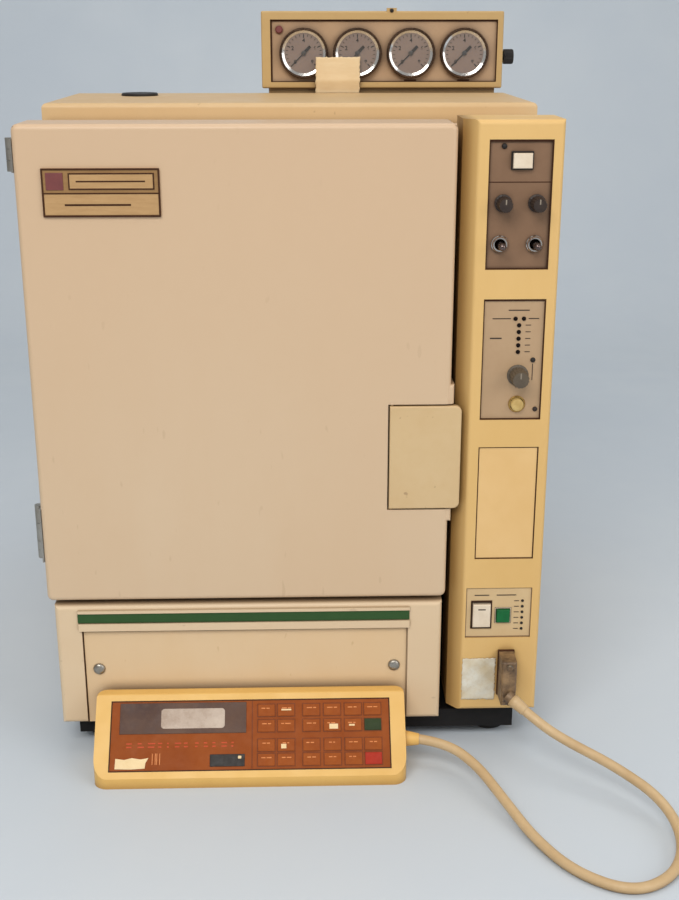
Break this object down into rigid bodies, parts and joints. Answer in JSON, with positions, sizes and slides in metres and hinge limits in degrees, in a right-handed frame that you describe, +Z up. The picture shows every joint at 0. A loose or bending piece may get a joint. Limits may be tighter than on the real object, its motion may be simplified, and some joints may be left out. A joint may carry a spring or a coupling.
{
  "type": "gas_chromatograph",
  "caption": "Bench-top gas chromatograph with a hinged column oven, a control column, a box of pressure gauges on top and a tethered keyboard console",
  "frame": {"origin": "On the bench surface under the middle of the object's box, cord and plug apart", "axes": "+X to the right seen from the front, +Y to the back, +Z up"},
  "size_m": [0.4957, 0.6975, 0.5946],
  "materials": {
    "cream_paint": "satin",
    "aged_plastic": "satin",
    "black_steel": "matte",
    "rubber_black": "matte",
    "stainless": "brushed",
    "plated_steel": "satin",
    "brass": "satin",
    "insulation_white": "matte",
    "black_plastic": "satin",
    "panel_grey": "matte",
    "white_plastic": "satin",
    "green_plastic": "satin",
    "glass_clear": "polished",
    "key_membrane": "satin",
    "cord_vinyl": "satin",
    "plug_plastic": "satin",
    "bronze_plate": "satin",
    "circuit_board": "satin",
    "needle_black": "matte",
    "silicone": "matte"
  },
  "bodies": {
    "root": {"base_frame": "black_steel", "feet": "rubber_black", "side_panels": "cream_paint", "rear_panel": "cream_paint", "deck_panel": "cream_paint", "top_hood": "cream_paint", "lower_front_panel": "cream_paint", "screws": "plated_steel", "oven_front_frame": "stainless", "oven_liner": "stainless", "oven_insulation": "insulation_white", "fan_baffle": "stainless", "fan_motor": "black_steel", "heater_coil": "plated_steel", "column_cage": "stainless", "capillary_column": "bronze_plate", "injection_port": "stainless", "port_cap": "black_plastic", "detector": "stainless", "transformer": "black_steel", "circuit_boards": "circuit_board", "mains_inlet": "black_plastic", "gas_fittings": "brass", "gauge_box": "cream_paint", "gauge_cases": "black_steel", "gauge_glasses": "glass_clear", "cabinet_hinges": "plated_steel", "hinge_pins": "plated_steel", "column_bezel": "aged_plastic", "module_panels": "panel_grey", "blank_cover": "aged_plastic", "console_case": "aged_plastic", "console_bezel": "aged_plastic", "key_sheet": "key_membrane", "console_cord": "cord_vinyl", "cord_plug": "plug_plastic"},
    "oven_door": {"door_shell": "cream_paint", "door_insulation": "insulation_white", "door_inner_plate": "stainless", "door_gasket": "silicone", "nameplate": "bronze_plate", "door_hinges": "plated_steel"},
    "handle": {"door_handle": "aged_plastic"},
    "fan_rotor": {"oven_fan": "stainless"},
    "exhaust_vane": {"exhaust_flap": "plated_steel"},
    "intake_vane": {"intake_flap": "plated_steel"},
    "regulator": {"regulator_knob": "black_plastic"},
    "pot_left": {"pot_knob_left": "black_plastic"},
    "pot_right": {"pot_knob_right": "black_plastic"},
    "toggle_left_lever": {"toggle_left": "plated_steel"},
    "toggle_right_lever": {"toggle_right": "plated_steel"},
    "range_dial": {"range_knob": "black_plastic"},
    "zero_key": {"zero_button": "brass"},
    "select_key": {"select_button": "white_plastic"},
    "rocker": {"power_rocker": "white_plastic"},
    "green_key": {"green_button": "green_plastic"},
    "needle_1": {"gauge_needle_1": "needle_black"},
    "needle_2": {"gauge_needle_2": "needle_black"},
    "needle_3": {"gauge_needle_3": "needle_black"},
    "needle_4": {"gauge_needle_4": "needle_black"}
  },
  "joints": [
    {"name": "door_hinge", "type": "hinge", "parent": "root", "child": "oven_door", "pos_m": [-0.2037, -0.206, 0.325], "axis": [0, 0, -1], "range_deg": [0, 110]},
    {"name": "handle_pivot", "type": "hinge", "parent": "oven_door", "child": "handle", "pos_m": [0.0765, -0.2178, 0.25825], "axis": [0, 0, -1], "range_deg": [0, 18], "stiffness_Nm_per_rad": 0.3},
    {"name": "fan_spin", "type": "hinge", "parent": "root", "child": "fan_rotor", "pos_m": [-0.039, 0.05, 0.325], "axis": [0, 1, 0], "continuous": true},
    {"name": "exhaust_swing", "type": "hinge", "parent": "root", "child": "exhaust_vane", "pos_m": [-0.08, 0.266, 0.4465], "axis": [1, 0, 0], "range_deg": [0, 60]},
    {"name": "intake_swing", "type": "hinge", "parent": "root", "child": "intake_vane", "pos_m": [-0.08, 0.266, 0.2665], "axis": [1, 0, 0], "range_deg": [0, 60]},
    {"name": "needle_1_turn", "type": "hinge", "parent": "root", "child": "needle_1", "pos_m": [0.011, 0.0554, 0.5555], "axis": [0, 1, 0], "range_deg": [0, 270]},
    {"name": "needle_2_turn", "type": "hinge", "parent": "root", "child": "needle_2", "pos_m": [0.06, 0.0554, 0.5555], "axis": [0, 1, 0], "range_deg": [0, 270]},
    {"name": "needle_3_turn", "type": "hinge", "parent": "root", "child": "needle_3", "pos_m": [0.109, 0.0554, 0.5555], "axis": [0, 1, 0], "range_deg": [0, 270]},
    {"name": "needle_4_turn", "type": "hinge", "parent": "root", "child": "needle_4", "pos_m": [0.158, 0.0554, 0.5555], "axis": [0, 1, 0], "range_deg": [0, 270]},
    {"name": "regulator_turn", "type": "hinge", "parent": "root", "child": "regulator", "pos_m": [0.2, 0.08, 0.552], "axis": [1, 0, 0], "range_deg": [0, 720]},
    {"name": "pot_left_turn", "type": "hinge", "parent": "root", "child": "pot_left", "pos_m": [0.1565, -0.22, 0.455], "axis": [0, 1, 0], "range_deg": [-150, 150]},
    {"name": "pot_right_turn", "type": "hinge", "parent": "root", "child": "pot_right", "pos_m": [0.1814, -0.22, 0.455], "axis": [0, 1, 0], "range_deg": [-150, 150]},
    {"name": "toggle_left_tilt", "type": "hinge", "parent": "root", "child": "toggle_left_lever", "pos_m": [0.155, -0.2145, 0.425], "axis": [1, 0, 0], "range_deg": [-12, 12]},
    {"name": "toggle_right_tilt", "type": "hinge", "parent": "root", "child": "toggle_right_lever", "pos_m": [0.181, -0.2145, 0.425], "axis": [1, 0, 0], "range_deg": [-12, 12]},
    {"name": "range_turn", "type": "hinge", "parent": "root", "child": "range_dial", "pos_m": [0.173, -0.22, 0.324], "axis": [0, 1, 0], "range_deg": [-135, 135]},
    {"name": "zero_press", "type": "slide", "parent": "root", "child": "zero_key", "axis": [0, 1, 0], "range_m": [0, 0.0015], "stiffness_N_per_m": 300},
    {"name": "select_press", "type": "slide", "parent": "root", "child": "select_key", "axis": [0, 1, 0], "range_m": [0, 0.002], "stiffness_N_per_m": 300},
    {"name": "rocker_tilt", "type": "hinge", "parent": "root", "child": "rocker", "pos_m": [0.15195, -0.215, 0.1216], "axis": [1, 0, 0], "range_deg": [-8, 8]},
    {"name": "green_press", "type": "slide", "parent": "root", "child": "green_key", "axis": [0, 1, 0], "range_m": [0, 0.0012], "stiffness_N_per_m": 300}
  ],
  "couplings": [
    {"joint": "intake_swing", "follows": "exhaust_swing", "ratio": 1}
  ]
}
